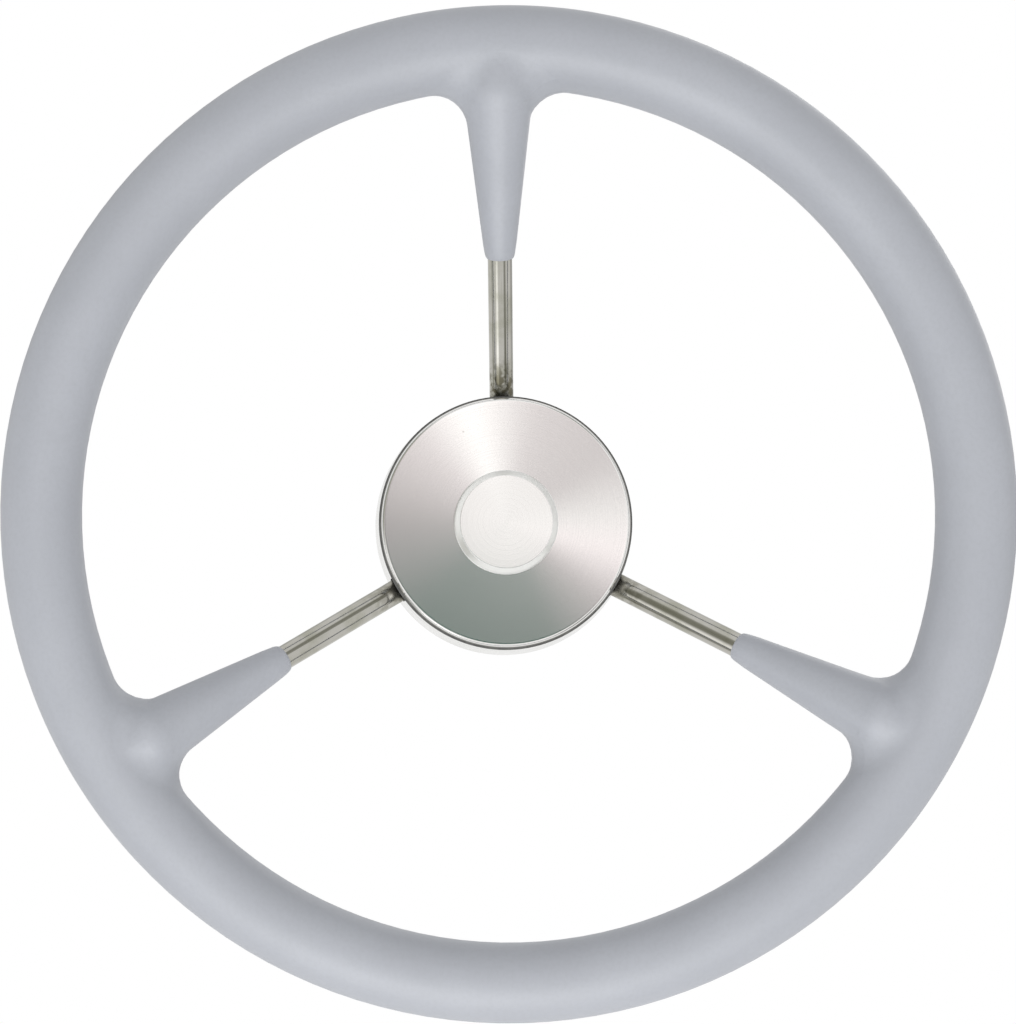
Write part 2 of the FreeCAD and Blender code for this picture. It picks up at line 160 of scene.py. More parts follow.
def pull(edge, way):
    """Pulls an edge out into a flat strip, and returns the strip's far edge."""
    strip = bmesh.ops.extrude_edge_only(sweep, edges=[edge])["geom"]
    moved = [part for part in strip if isinstance(part, bmesh.types.BMVert)]
    bmesh.ops.translate(sweep, verts=moved, vec=way)
    edges = [part for part in strip if isinstance(part, bmesh.types.BMEdge)]
    return [e for e in edges if all(v in moved for v in e.verts)][0]


near_left = sweep.verts.new((-SWEEP_HALF_WIDTH, -SWEEP_FRONT, FLOOR_HEIGHT))
near_right = sweep.verts.new((SWEEP_HALF_WIDTH, -SWEEP_FRONT, FLOOR_HEIGHT))
near_edge = sweep.edges.new((near_left, near_right))
fold = pull(near_edge, (0, SWEEP_FRONT + WALL_DISTANCE, 0))
pull(fold, (0, 0, WALL_HEIGHT))
bmesh.ops.bevel(
    sweep, geom=[fold], offset=SWEEP_CURVE, segments=24,
    profile=0.5, affect="EDGES", material=-1,
)
bmesh.ops.recalc_face_normals(sweep, faces=sweep.faces)
sweep_mesh = bpy.data.meshes.new("studio_sweep")
sweep.to_mesh(sweep_mesh)
sweep.free()
sweep_mesh.shade_smooth()
studio_sweep = bpy.data.objects.new("studio_sweep", sweep_mesh)
bpy.context.scene.collection.objects.link(studio_sweep)

sweep_paint = bpy.data.materials.new("sweep_paint")
sweep_paint.use_nodes = True
tree = sweep_paint.node_tree
tree.nodes.clear()
paint = add_node(tree, "BsdfDiffuse")
paint.inputs["Color"].default_value = (0.80, 0.80, 0.80, 1)
white = add_node(tree, "Emission")
light_path = add_node(tree, "LightPath")
choose = add_node(tree, "MixShader")
seen = light_path.outputs["Is Camera Ray"]
for kind in ("Is Glossy Ray", "Is Transmission Ray"):
    seen = reckon(tree, "MAXIMUM", seen, light_path.outputs[kind])
feed(tree, choose.inputs[0], seen)
feed(tree, choose.inputs[1], paint.outputs[0])
feed(tree, choose.inputs[2], white.outputs[0])
out = add_node(tree, "OutputMaterial")
feed(tree, out.inputs["Surface"], choose.outputs[0])
sweep_mesh.materials.append(sweep_paint)
studio_sweep.visible_glossy = False  # metal mirrors the painted cards of the next cell
print("sweep has", len(sweep_mesh.polygons), "faces")

# %% [markdown]
# Metal has no colour of its own to speak of: it looks like what stands round it. In a
# studio, white cards and black flags are stood round polished metal to give it streaks.
# Here they are painted on the world instead, as round soft patches, because a patch is
# easier to move than a card. A rod is a curved mirror: it squeezes half the room into its
# width, so each patch becomes a streak along it. Only glossy rays see the patches. The
# camera sees plain white, and matt surfaces get an even pale light.

# %% Paint the cards and flags round the wheel
world = bpy.data.worlds.new("studio")
bpy.context.scene.world = world
world.use_nodes = True
tree = world.node_tree
tree.nodes.clear()
outward = add_node(tree, "TexCoord").outputs["Generated"]


def cover_by_angle(tree, toward, half_angle, softness):
    """1 near a direction and 0 away from it, with a soft edge; angles in degrees."""
    facing = add_node(tree, "VectorMath", operation="DOT_PRODUCT")
    feed(tree, facing.inputs[0], outward)
    facing.inputs[1].default_value = Vector(toward).normalized()
    outer = math.cos(math.radians(half_angle + softness))
    inner = math.cos(math.radians(max(half_angle - softness, 0)))
    return ramp(tree, facing.outputs["Value"], outer, inner)


BASE_SHADE = (0.96, 0.96, 0.95, 1)
CARDS = (
    # toward (x, y, z), half angle, softness, shade
    ((0.00, 1.00, 0.00), 30, 12, (0.92, 0.92, 0.92)),  # the white wall behind
    ((0.75, 0.55, 0.35), 26, 14, (0.50, 0.50, 0.49)),  # a soft flag, behind on the right
    ((-0.45, 0.75, 0.48), 16, 12, (0.62, 0.62, 0.61)),  # a soft flag, behind on the left
    ((-0.72, -0.59, 0.37), 24, 9, (0.34, 0.34, 0.29)),  # a wide flag, upper left
    ((0.50, -0.54, 0.68), 10, 6, (0.36, 0.36, 0.32)),  # a narrow flag, upper right
    ((0.58, -0.40, -0.71), 11, 6, (0.24, 0.24, 0.20)),  # a flag, lower right
    ((-0.87, 0.06, -0.49), 12, 7, (0.38, 0.38, 0.34)),  # a flag, far left
    ((-0.92, -0.26, -0.29), 11, 6, (1.45, 1.45, 1.42)),  # a bright card, left
    ((-0.50, -0.45, -0.74), 11, 5, (2.00, 2.00, 2.00)),  # a bright card, lower left
)
painted = BASE_SHADE
for toward, half_angle, softness, shade in CARDS:
    cover = cover_by_angle(tree, toward, half_angle, softness)
    painted = blend(tree, cover, painted, (*shade, 1))
print(len(CARDS), "cards and flags")

# %% [markdown]
# The cap's brushed face spreads what it mirrors outwards from its middle, like the back
# of a pan or a record. So what stands straight in front of the wheel shows on the cap as
# a fan, each part of it in its own direction: bright upwards and to the right, dark
# downwards. It is painted as a colour ramp that runs round the direction in which the
# cap looks. A small bright patch in its middle lights the flat top of the raised boss.
# The levels are rough ones, set by readings of the photograph.

# %% Paint the fan in front of the cap
FAN_MIDDLE = Vector((0.035, -1.0, 0.060)).normalized()  # the cap mirrors the camera from there
FAN_REACH, FAN_SOFTNESS = 30, 5  # degrees
BOSS_CARD_REACH, BOSS_CARD_SOFTNESS = 4.2, 1.6  # degrees
BOSS_CARD = (1.09, 1.07, 1.06, 1)
WARM = Vector((1.05, 0.97, 0.98))
CLEAR = Vector((1.01, 0.99, 0.98))
COOL = Vector((0.40, 1.06, 0.82))
FAN = (
    # angle from the right hand side, counter-clockwise; light; tint
    (0, 1.05, CLEAR),
    (30, 0.65, WARM),
    (75, 0.80, WARM),
    (108, 1.50, CLEAR),
    (135, 0.85, WARM),
    (180, 0.32, WARM),
    (225, 0.10, COOL),
    (290, 0.09, COOL),
    (318, 0.45, WARM),
    (342, 1.20, WARM),
    (360, 1.05, CLEAR),
)
offset = add_node(tree, "VectorMath", operation="SUBTRACT")
feed(tree, offset.inputs[0], outward)
offset.inputs[1].default_value = FAN_MIDDLE
sides = add_node(tree, "SeparateXYZ")
feed(tree, sides.inputs[0], offset.outputs[0])
angle = reckon(tree, "ARCTAN2", sides.outputs["Z"], sides.outputs["X"])
turn = reckon(tree, "FRACT", reckon(tree, "DIVIDE", angle, math.tau))
fan = add_node(tree, "ValToRGB")
feed(tree, fan.inputs[0], turn)
stops = fan.color_ramp.elements
stops[0].position = FAN[0][0] / 360
stops[1].position = FAN[-1][0] / 360
for place, *_ in FAN[1:-1]:
    stops.new(place / 360)
for stop, (_, light, tint) in zip(stops, FAN):
    stop.color = (*(light * tint), 1)
in_fan = cover_by_angle(tree, FAN_MIDDLE, FAN_REACH, FAN_SOFTNESS)
painted = blend(tree, in_fan, painted, fan.outputs[0])
in_card = cover_by_angle(tree, FAN_MIDDLE, BOSS_CARD_REACH, BOSS_CARD_SOFTNESS)
painted = blend(tree, in_card, painted, BOSS_CARD)
print("a fan of", len(FAN), "shades")

# %% [markdown]
# The world's shader picks what each kind of ray sees. A plain even grey lights the foam
# from all sides; the three lamps of the next cell add the rest.

# %% Finish the world
AMBIENT = (0.67, 0.67, 0.67, 1)
light_path = add_node(tree, "LightPath")
colour = blend(tree, light_path.outputs["Is Glossy Ray"], AMBIENT, painted)
for kind in ("Is Camera Ray", "Is Transmission Ray"):
    colour = blend(tree, light_path.outputs[kind], colour, (1, 1, 1, 1))
background = add_node(tree, "Background")
feed(tree, background.inputs["Color"], colour)
out = add_node(tree, "OutputWorld")
feed(tree, out.inputs["Surface"], background.outputs[0])
print("even light", AMBIENT[0])

# %% [markdown]
# The foam is lit softly from in front and from below, a little on the left, so the lower
# half of the rim is its brightest part. A weak lamp behind shapes the back. All three are
# large, because a small bright lamp glares where foam is seen at a flat angle. The metal
# would mirror the lamps as hard squares, so light linking keeps them off it: the metal
# pieces are listed in a collection that each lamp leaves out.

# %% Place the soft lamps
METAL_NODES = (
    "spoke_top", "spoke_left", "spoke_right", "hub", "hub_cup", "cup_screws", "rim_core_ring",
)
unlit = bpy.data.collections.new("metal_the_lamps_leave_out")
for name in METAL_NODES:
    unlit.objects.link(nodes[name])


def leave_out_all():
    """Every object that the collection lists is left out by the lamps."""
    for listed in unlit.collection_objects:
        listed.light_linking.link_state = "EXCLUDE"


def soft_lamp(name, place, size, power):
    """A square lamp that faces the middle of the rim."""
    lamp = bpy.data.lights.new(name, "AREA")
    lamp.size = size
    lamp.energy = power
    made = bpy.data.objects.new(name, lamp)
    made.location = place
    middle = Vector((0, -RIM_DEPTH, 0))
    made.rotation_euler = (middle - Vector(place)).to_track_quat("-Z", "Y").to_euler()
    bpy.context.scene.collection.objects.link(made)
    made.light_linking.receiver_collection = unlit
    print(name, power, "W")


# place and size in metres, power in watts
soft_lamp("lamp_front", (-0.28, -1.75, -0.75), 1.4, 8.2)
soft_lamp("lamp_below", (-0.10, -1.2, -1.2), 1.3, 10.0)
soft_lamp("lamp_back", (1.10, 1.10, 0.90), 1.4, 6.0)
leave_out_all()

# %% [markdown]
# Every material below starts the same way: a Principled shader with a colour, whether it
# is metal, and how rough it is. A colour is written as it looks on a screen, from 0 to
# 255, and turned into the light values that Blender works with. Patterns are laid out in
# the piece's own metres, so a grain of half a millimetre is written as half a millimetre.

# %% Helpers for materials
def screen_colour(red, green, blue):
    """Screen values from 0 to 255, as the light values that Blender mixes."""
    values = []
    for value in (red, green, blue):
        share = value / 255
        low = share / 12.92
        high = ((share + 0.055) / 1.055) ** 2.4
        values.append(low if share <= 0.04045 else high)
    return (*values, 1)


def new_material(name, colour, metallic, roughness):
    """A material with one Principled shader; returns it, its tree and the shader."""
    made = bpy.data.materials.new(name)
    made.use_nodes = True
    tree = made.node_tree
    shader = tree.nodes["Principled BSDF"]
    shader.inputs["Base Color"].default_value = colour
    shader.inputs["Metallic"].default_value = metallic
    shader.inputs["Roughness"].default_value = roughness
    return made, tree, shader


def place_on_piece(tree):
    """Object coordinates in metres: whole, x, y, z, and the distance from the shaft's line."""
    coords = add_node(tree, "TexCoord").outputs["Object"]
    parts = add_node(tree, "SeparateXYZ")
    feed(tree, parts.inputs[0], coords)
    x, y, z = parts.outputs
    squares = [times(tree, side, side) for side in (x, z)]
    from_shaft = reckon(tree, "SQRT", reckon(tree, "ADD", *squares))
    return coords, x, y, z, from_shaft


def join(tree, x, y, z):
    """One vector from three values."""
    made = add_node(tree, "CombineXYZ")
    for socket, value in zip(made.inputs, (x, y, z)):
        feed(tree, socket, value)
    return made.outputs[0]


def noise(tree, coords, grain, detail=2.0):
    """Noise whose grains are about that many metres across."""
    made = add_node(tree, "TexNoise")
    feed(tree, made.inputs["Vector"], coords)
    made.inputs["Scale"].default_value = 1 / grain
    made.inputs["Detail"].default_value = detail
    return made.outputs["Fac"]


def bump(tree, height, distance, under=None):
    """Turns a height from 0 to 1 into relief that is distance deep."""
    made = add_node(tree, "Bump")
    made.inputs["Distance"].default_value = distance
    feed(tree, made.inputs["Height"], height)
    if under is not None:
        feed(tree, made.inputs["Normal"], under)
    return made.outputs["Normal"]


def set_finish(tree, shader, colour, roughness, relief):
    """Feeds the three sockets that nearly every finish varies."""
    for name, value in (("Base Color", colour), ("Roughness", roughness), ("Normal", relief)):
        feed(tree, shader.inputs[name], value)


def cover_node(name, material):
    """Gives a CAD node its finish."""
    for slot in nodes[name].material_slots:
        slot.material = material
    print(name, "is", material.name)


print("material helpers ready")

# %% [markdown]
# The grip is soft foam, moulded in one piece in a closed mould. Its skin is matt, with a
# pebble so fine that it only softens the light, a slightly uneven tone, and a few specks
# and pin holes where bubbles reached the mould. The two halves of the mould leave a thin
# seam, which runs round the rim and follows the rods down. Relief of this size would
# need millions of faces, so it is a bump in the material.

# %% Mix the foam
SPECK_SPACING = 9 * MM
SEAM_HALF_WIDTH = 0.25 * MM
foam, tree, shader = new_material("grip_foam", screen_colour(178, 181, 188), 0.0, 0.42)
shader.inputs["Specular IOR Level"].default_value = 0.52
coords, _, y, _, from_shaft = place_on_piece(tree)

tone = ramp(tree, noise(tree, coords, 35 * MM, 3), 0.3, 0.7)
skin = blend(tree, tone, screen_colour(176, 179, 186), screen_colour(180, 183, 190))
mottle = ramp(tree, noise(tree, coords, 1.6 * MM, 3), 0.35, 0.75)
skin = blend(tree, times(tree, mottle, 0.25), skin, screen_colour(168, 170, 176))
speck = add_node(tree, "TexVoronoi")
feed(tree, speck.inputs["Vector"], coords)
speck.inputs["Scale"].default_value = 1 / SPECK_SPACING
chance = add_node(tree, "SeparateColor")
feed(tree, chance.inputs[0], speck.outputs["Color"])
speck_size = ramp(tree, chance.outputs[0], 0.90, 1.0, 0.0, 0.05)  # one place in ten has one
is_speck = reckon(tree, "LESS_THAN", speck.outputs["Distance"], speck_size)
skin = blend(tree, times(tree, is_speck, 0.45), skin, screen_colour(112, 110, 106))
feed(tree, shader.inputs["Base Color"], skin)

inside_knee = reckon(tree, "MAXIMUM", reckon(tree, "SUBTRACT", KNEE_RADIUS, from_shaft), 0.0)
sloped_back = times(tree, inside_knee, math.tan(ROD_SLOPE))
seam_depth = reckon(tree, "SUBTRACT", RIM_DEPTH, sloped_back)
off_seam = reckon(tree, "ABSOLUTE", reckon(tree, "ADD", y, seam_depth))
seam = ramp(tree, off_seam, 0.0, SEAM_HALF_WIDTH, 1.0, 0.0)
pebble = bump(tree, noise(tree, coords, 0.45 * MM, 2), 0.03 * MM)
pitted = bump(tree, reckon(tree, "SUBTRACT", 1.0, is_speck), 0.08 * MM, under=pebble)
seamed = bump(tree, seam, 0.10 * MM, under=pitted)
feed(tree, shader.inputs["Normal"], seamed)
cover_node("rim_grip", foam)

# %% [markdown]
# The rods are round stainless bar, drawn through a die and then polished. Polishing
# leaves hair-fine lines along the bar, and handling leaves dull patches. Noise that is
# stretched along the bar gives the lines. One shared material could do it only if all
# three bars ran the same way, so each gets its own: three dot products turn the piece's
# coordinates until one of them runs along the bar.

# %% Turn the coordinates along a rod
def along_rod(tree, coords, degrees):
    """Coordinates across, up from and along the rod that leaves the hub at that angle."""
    outwards = Vector((math.cos(math.radians(degrees)), 0, math.sin(math.radians(degrees))))
    forwards = Vector((0, -1, 0))
    along_bar = outwards * math.cos(ROD_SLOPE) + forwards * math.sin(ROD_SLOPE)
    sideways = along_bar.cross(forwards).normalized()
    upwards = sideways.cross(along_bar)
    turned = []
    for direction in (sideways, upwards, along_bar):
        dot = add_node(tree, "VectorMath", operation="DOT_PRODUCT")
        feed(tree, dot.inputs[0], coords)
        dot.inputs[1].default_value = direction
        turned.append(dot.outputs["Value"])
    return turned


print("rods at", sorted(ROD_ANGLES.values()), "degrees")

# %% [markdown]
# At the hub the bar is welded. Ripples mark the bead, and beyond it the heat has left
# blue and then straw. The inner end was dipped in acid to clean the weld, which leaves it
# duller, as far out as the cap. Where a rod comes out from under the cap, it is painted
# darker and olive in mottled patches, most on the top rod: partly stain, partly a painted
# dark reflection. All of this depends on how far out a place lies, so it is mixed by the
# distance from the shaft's line. A painted image could hold it too, but would have to be
# unwrapped round a bent bar.

# %% Polish the rods
# these three rows are distances from the shaft's line
WELD_END, BLUE_END, HEAT_END = 25.6 * MM, 29 * MM, 34 * MM
DULL_FADES, DULL_END = 51 * MM, 57 * MM
STAIN_SHADE_START, STAIN_SHADE_FULL, STAIN_SHADE_FADES, STAIN_SHADE_END = 42 * MM, 48 * MM, 56 * MM, 67 * MM
# how strong each rod's olive darkening is: partly stain, partly a painted dark reflection
STAIN_AND_SHADE = {"spoke_top": 0.9, "spoke_left": 0.35, "spoke_right": 0.45}  # how strong
BEAD_EDGE = 0.4 * MM  # the width of its soft edge
BEAD_RIPPLES = 30  # in a full turn
RIPPLES_BACK = 4 * MM  # they fan out from a line that lies this far behind the origin


def polished_rod(name, degrees, stain):
    """The finish of one rod, which leaves the hub at that angle."""
    made, tree, shader = new_material("rod_steel_" + name, screen_colour(182, 180, 173), 1.0, 0.12)
    coords, *_, from_shaft = place_on_piece(tree)
    side, up, along = along_rod(tree, coords, degrees)
    stretched = join(tree, side, up, times(tree, along, 0.02))
    lines = noise(tree, stretched, 0.5 * MM, 4)
    smudge = ramp(tree, noise(tree, coords, 9 * MM, 4), 0.38, 0.72)

    steel = blend(tree, smudge, screen_colour(186, 184, 178), screen_colour(170, 169, 158))
    scored = ramp(tree, lines, 0.55, 0.75, 0.0, 0.5)
    steel = blend(tree, scored, steel, screen_colour(148, 147, 138))
    heat = ramp(tree, from_shaft, WELD_END, HEAT_END, 1.0, 0.0)
    past_blue = ramp(tree, from_shaft, WELD_END, BLUE_END)
    tint = blend(tree, past_blue, screen_colour(130, 135, 152), screen_colour(206, 176, 120))
    steel = blend(tree, times(tree, heat, 0.7), steel, tint)
    dulled = ramp(tree, from_shaft, DULL_FADES, DULL_END, 1.0, 0.0)
    steel = blend(tree, times(tree, dulled, 0.5), steel, screen_colour(172, 170, 160))
    # mottled olive darkening near the cap: partly stain, partly a painted dark reflection
    stain_and_shade_mask = ramp(tree, noise(tree, coords, 2.6 * MM, 3), 0.38, 0.58)
    stain_and_shade_mask = times(tree, stain_and_shade_mask, ramp(tree, from_shaft, STAIN_SHADE_FADES, STAIN_SHADE_END, stain, 0.0))
    stain_and_shade_mask = times(tree, stain_and_shade_mask, ramp(tree, from_shaft, STAIN_SHADE_START, STAIN_SHADE_FULL))
    steel = blend(tree, stain_and_shade_mask, steel, screen_colour(96, 92, 74))

    in_bead = ramp(tree, from_shaft, WELD_END - BEAD_EDGE, WELD_END, 1.0, 0.0)
    roughness = ramp(tree, smudge, 0.0, 1.0, 0.09, 0.16)
    roughness = reckon(tree, "ADD", roughness, times(tree, dulled, 0.30))
    roughness = reckon(tree, "ADD", roughness, times(tree, in_bead, 0.2))

    round_bar = reckon(tree, "ARCTAN2", side, reckon(tree, "ADD", up, RIPPLES_BACK))
    ripple = reckon(tree, "SINE", times(tree, round_bar, BEAD_RIPPLES))
    ripple = times(tree, ripple, in_bead)
    grooved = bump(tree, lines, 0.004 * MM)
    set_finish(tree, shader, steel, roughness, bump(tree, ripple, 0.12 * MM, under=grooved))
    return made


for name, degrees in ROD_ANGLES.items():
    cover_node(name, polished_rod(name, degrees, STAIN_AND_SHADE[name]))

# %% [markdown]
# The cup behind the cap is spun from sheet: a disc is pressed over a turning form until
# it takes its shape. The tool leaves fine circles round the shaft's line. Noise that
# reads only the distance from that line and the depth, and not the angle, has the same
# circles. The cup is polished afterwards, so they are faint.

# %% Polish the cup
cup_steel, tree, shader = new_material("cup_steel", screen_colour(236, 235, 232), 1.0, 0.16)
coords, _, y, _, from_shaft = place_on_piece(tree)
circles = noise(tree, join(tree, from_shaft, y, 0.0), 0.35 * MM, 4)
haze = ramp(tree, noise(tree, coords, 14 * MM, 3), 0.35, 0.75)
polish = blend(tree, haze, screen_colour(238, 237, 234), screen_colour(226, 226, 221))
scored = ramp(tree, circles, 0.5, 0.8, 0.0, 0.4)
polish = blend(tree, scored, polish, screen_colour(205, 204, 199))
roughness = ramp(tree, circles, 0.2, 0.8, 0.12, 0.22)
set_finish(tree, shader, polish, roughness, bump(tree, circles, 0.004 * MM))
cover_node("hub_cup", cup_steel)

# %% [markdown]
# The hub is turned on a lathe from solid bar and isn't polished, because nobody sees it.
# A lathe tool leaves a fine spiral, close to even rings: a sine of the distance from the
# shaft's line on the flat faces, and of the depth on the round ones. Adding the two
# gives both, because on each kind of face only one of them changes.

# %% Turn the hub
FEED = 0.22 * MM  # how far the tool moves in one turn
hub_steel, tree, shader = new_material("hub_steel", screen_colour(190, 189, 187), 1.0, 0.28)
coords, _, y, _, from_shaft = place_on_piece(tree)
travel = reckon(tree, "ADD", from_shaft, y)
rings = reckon(tree, "SINE", times(tree, travel, math.tau / FEED))
wobble = noise(tree, join(tree, from_shaft, y, 0.0), 0.9 * MM, 4)
stain = ramp(tree, noise(tree, coords, 6 * MM, 4), 0.4, 0.75)
steel = blend(tree, wobble, screen_colour(182, 181, 179), screen_colour(202, 201, 199))
steel = blend(tree, times(tree, stain, 0.5), steel, screen_colour(158, 155, 147))
roughness = ramp(tree, stain, 0.0, 1.0, 0.24, 0.36)
cut = bump(tree, reckon(tree, "ADD", times(tree, rings, 0.5), 0.5), 0.003 * MM)
set_finish(tree, shader, steel, roughness, bump(tree, wobble, 0.006 * MM, under=cut))
cover_node("hub", hub_steel)

# %% [markdown]
# The three screws are bought ones, pressed and rolled from stainless wire and tumbled
# bright. Tumbling leaves a soft uneven shine and tiny dents. The ring inside the foam is
# plain bar, rolled into a hoop, and keeps the dark skin from the mill: it is only seen
# if the foam is cut away, but it gets its own finish all the same.

# %% Finish the screws and the hidden ring
screw_steel, tree, shader = new_material("screw_steel", screen_colour(205, 204, 200), 1.0, 0.18)
coords, *_ = place_on_piece(tree)
dents = noise(tree, coords, 0.7 * MM, 3)
steel = blend(tree, dents, screen_colour(192, 191, 187), screen_colour(216, 215, 211))
roughness = ramp(tree, dents, 0.3, 0.7, 0.15, 0.27)
set_finish(tree, shader, steel, roughness, bump(tree, dents, 0.01 * MM))
cover_node("cup_screws", screw_steel)

core_steel, tree, shader = new_material("core_steel", screen_colour(150, 148, 146), 1.0, 0.45)
coords, *_ = place_on_piece(tree)
scale = ramp(tree, noise(tree, coords, 5 * MM, 5), 0.4, 0.65)
steel = blend(tree, scale, screen_colour(160, 158, 156), screen_colour(112, 108, 104))
roughness = ramp(tree, scale, 0.0, 1.0, 0.38, 0.62)
set_finish(tree, shader, steel, roughness, bump(tree, scale, 0.02 * MM))
cover_node("rim_core_ring", core_steel)

# %% [markdown]
# Two rings are rubber: the seal in the cap's edge and the friction ring on the hub. Black
# rubber is never quite black. It carries a little grey bloom and dust, and its skin is
# very finely rough. The carrier inside the cap is natural nylon, pale and faintly
# waxy: light goes a little way in before it comes out, which a touch of subsurface gives.

# %% Finish the rubber and the nylon
rubber, tree, shader = new_material("black_rubber", screen_colour(92, 92, 90), 0.0, 0.55)
coords, *_ = place_on_piece(tree)
bloom = ramp(tree, noise(tree, coords, 3 * MM, 4), 0.4, 0.75)
shade = blend(tree, bloom, screen_colour(86, 86, 84), screen_colour(112, 112, 109))
roughness = ramp(tree, bloom, 0.0, 1.0, 0.48, 0.68)
set_finish(tree, shader, shade, roughness, bump(tree, noise(tree, coords, 0.25 * MM, 2), 0.01 * MM))
cover_node("cap_seal", rubber)
cover_node("cap_o_ring", rubber)

NYLON_DEPTH = 0.8 * MM
carrier, tree, shader = new_material("carrier_plastic", screen_colour(221, 219, 213), 0.0, 0.42)
shader.inputs["Subsurface Weight"].default_value = 0.15
shader.inputs["Subsurface Scale"].default_value = NYLON_DEPTH
coords, *_ = place_on_piece(tree)
flow = ramp(tree, noise(tree, coords, 12 * MM, 3), 0.35, 0.7)
shade = blend(tree, flow, screen_colour(223, 221, 216), screen_colour(216, 213, 203))
roughness = ramp(tree, flow, 0.0, 1.0, 0.38, 0.5)
set_finish(tree, shader, shade, roughness, bump(tree, noise(tree, coords, 0.4 * MM, 2), 0.012 * MM))
cover_node("cap_carrier", carrier)

# %% [markdown]
# The cap is spun from a flat steel disc, with a raised round boss in the middle and an
# edge turned back over the seal. The CAD solid has these forms, and its faces could be
# rounded further. Here the sheet is drawn again instead, with finer roundings, so that
# its edges catch the light without any facets, and with a narrow cone round the boss,
# because a round shoulder mirrors the rim as dark rings. Half a section is enough: one
# line for the sheet's outside, and the same line again one sheet's thickness further in.

# %% Draw the cap's sheet
SHEET = 1 * MM
FACE_DEPTH = 41 * MM
FACE_FALL = 1.5 * MM
BOSS_RISE = 3.4 * MM
BOSS_CROWN = 0.1 * MM
SHOULDER_WIDTH = 2.0 * MM
SHOULDER_SLOPE = math.radians(47)
SHOULDER_ROUND = 0.15 * MM
FOOT_ROUND = 0.5 * MM
EDGE_ROUND = 1.9 * MM
RIM_ROUND = 0.2 * MM
SKIRT_END = 34.8 * MM
CROWN_POINTS = 6

boss_top = FACE_DEPTH + BOSS_RISE
shoulder_start = BOSS_RADIUS - SHOULDER_WIDTH
shoulder_end = boss_top - SHOULDER_WIDTH * math.tan(SHOULDER_SLOPE)
outside = []
for step in range(CROWN_POINTS):
    part = step / CROWN_POINTS
    outside.append(Vector((shoulder_start * part, boss_top + BOSS_CROWN * (1 - part ** 2))))
# each corner's radius, depth, and how far it is rounded outside and inside
CORNERS = (
    (shoulder_start, boss_top, SHOULDER_ROUND, SHOULDER_ROUND),
    (BOSS_RADIUS, shoulder_end, SHOULDER_ROUND, SHOULDER_ROUND),
    (BOSS_RADIUS, FACE_DEPTH, FOOT_ROUND, FOOT_ROUND + SHEET),
    (CAP_RADIUS, FACE_DEPTH - FACE_FALL, EDGE_ROUND, EDGE_ROUND - SHEET),
    (CAP_RADIUS, SKIRT_END, RIM_ROUND, RIM_ROUND),
)
outside += [Vector(corner[:2]) for corner in CORNERS]


def sheet_inside(line):
    """The same line again, one sheet's thickness further in."""
    ways = [(after - before).normalized() for before, after in zip(line, line[1:])]
    inward = [Vector((way.y, -way.x)) for way in ways]
    sides = zip([inward[0], *inward], [*inward, inward[-1]])
    return [
        point + SHEET * (one + other) / (1 + one.dot(other))
        for point, (one, other) in zip(line, sides)
    ]


inside = sheet_inside(outside)
inside[0].x = 0
print("half a section:", len(outside), "points on each side of the sheet")

# %% [markdown]
# The solid could be pulled out of a disc ring by ring, or the section could be turned by
# a Screw modifier. Turning it once round here is quicker, it stays in one mesh, and it is
# how the metal spinner works. The corners are bevelled first, while the section is still
# a line. Smooth shading would bend the light far into the flat parts beside a small
# rounding, so a narrow strip is split off there. It keeps them flat.

# %% Spin the cap
CAP_STEPS = 256
BEVEL_SEGMENTS = 10
SUPPORT = 0.15 * MM  # the width of those strips
SPLIT_FROM, DIVIDE_FROM = 1 * MM, 4 * MM  # the shortest lengths that are split and divided
DIVISIONS = 12

cap = bmesh.new()
outer, inner = (
    [cap.verts.new((point.x, -point.y, 0)) for point in line] for line in (outside, inside)
)
around = outer + inner[::-1]
for first, second in zip(around, around[1:]):
    cap.edges.new((first, second))
for index, (*_, rounded_out, rounded_in) in enumerate(CORNERS, start=CROWN_POINTS):
    for corner, rounding in ((outer[index], rounded_out), (inner[index], rounded_in)):
        bmesh.ops.bevel(
            cap, geom=[corner], offset=rounding, segments=BEVEL_SEGMENTS,
            profile=0.5, affect="VERTICES", material=-1,
        )
for edge in [e for e in cap.edges if e.calc_length() > SPLIT_FROM]:
    for end in list(edge.verts):
        split_off, _ = bmesh.utils.edge_split(edge, end, SUPPORT / edge.calc_length())
        edge = max(edge, split_off, key=lambda e: e.calc_length())
long_edges = [e for e in cap.edges if e.calc_length() > DIVIDE_FROM]
bmesh.ops.subdivide_edges(cap, edges=long_edges, cuts=DIVISIONS)
bmesh.ops.spin(
    cap, geom=cap.verts[:] + cap.edges[:], cent=(0, 0, 0), axis=(0, 1, 0),
    angle=math.tau, steps=CAP_STEPS, use_merge=True,
)
bmesh.ops.remove_doubles(cap, verts=cap.verts, dist=0.001 * MM)
bmesh.ops.recalc_face_normals(cap, faces=cap.faces)
print("cap skin:", len(cap.faces), "faces")
print("open edges:", sum(not edge.is_manifold for edge in cap.edges))
cap_mesh = bpy.data.meshes.new("spun_cap")
cap.to_mesh(cap_mesh)
cap.free()
cap_mesh.shade_smooth()
spun_cap = bpy.data.objects.new("spun_cap", cap_mesh)
bpy.context.scene.collection.objects.link(spun_cap)
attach(spun_cap, "centre_cap")
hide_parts("cap_shell")
unlit.objects.link(spun_cap)
leave_out_all()

# %% [markdown]
# The cap's face is brushed while it turns, so its scratches are circles. Millions of
# them could be modelled as bumps, but they are finer than a pixel. An anisotropic shader
# does what they do together: it spreads the shine across the scratches, here straight
# out from the middle, which opens the light into fans. On the narrow cone round the boss
# it is spread round about instead, which turns what the cone mirrors into one soft white
# ring.

# %% Brush the cap
cap_steel, tree, shader = new_material("cap_steel", screen_colour(240, 239, 237), 1.0, 0.22)
coords, x, y, z, from_shaft = place_on_piece(tree)
shader.inputs["Anisotropic"].default_value = 0.9

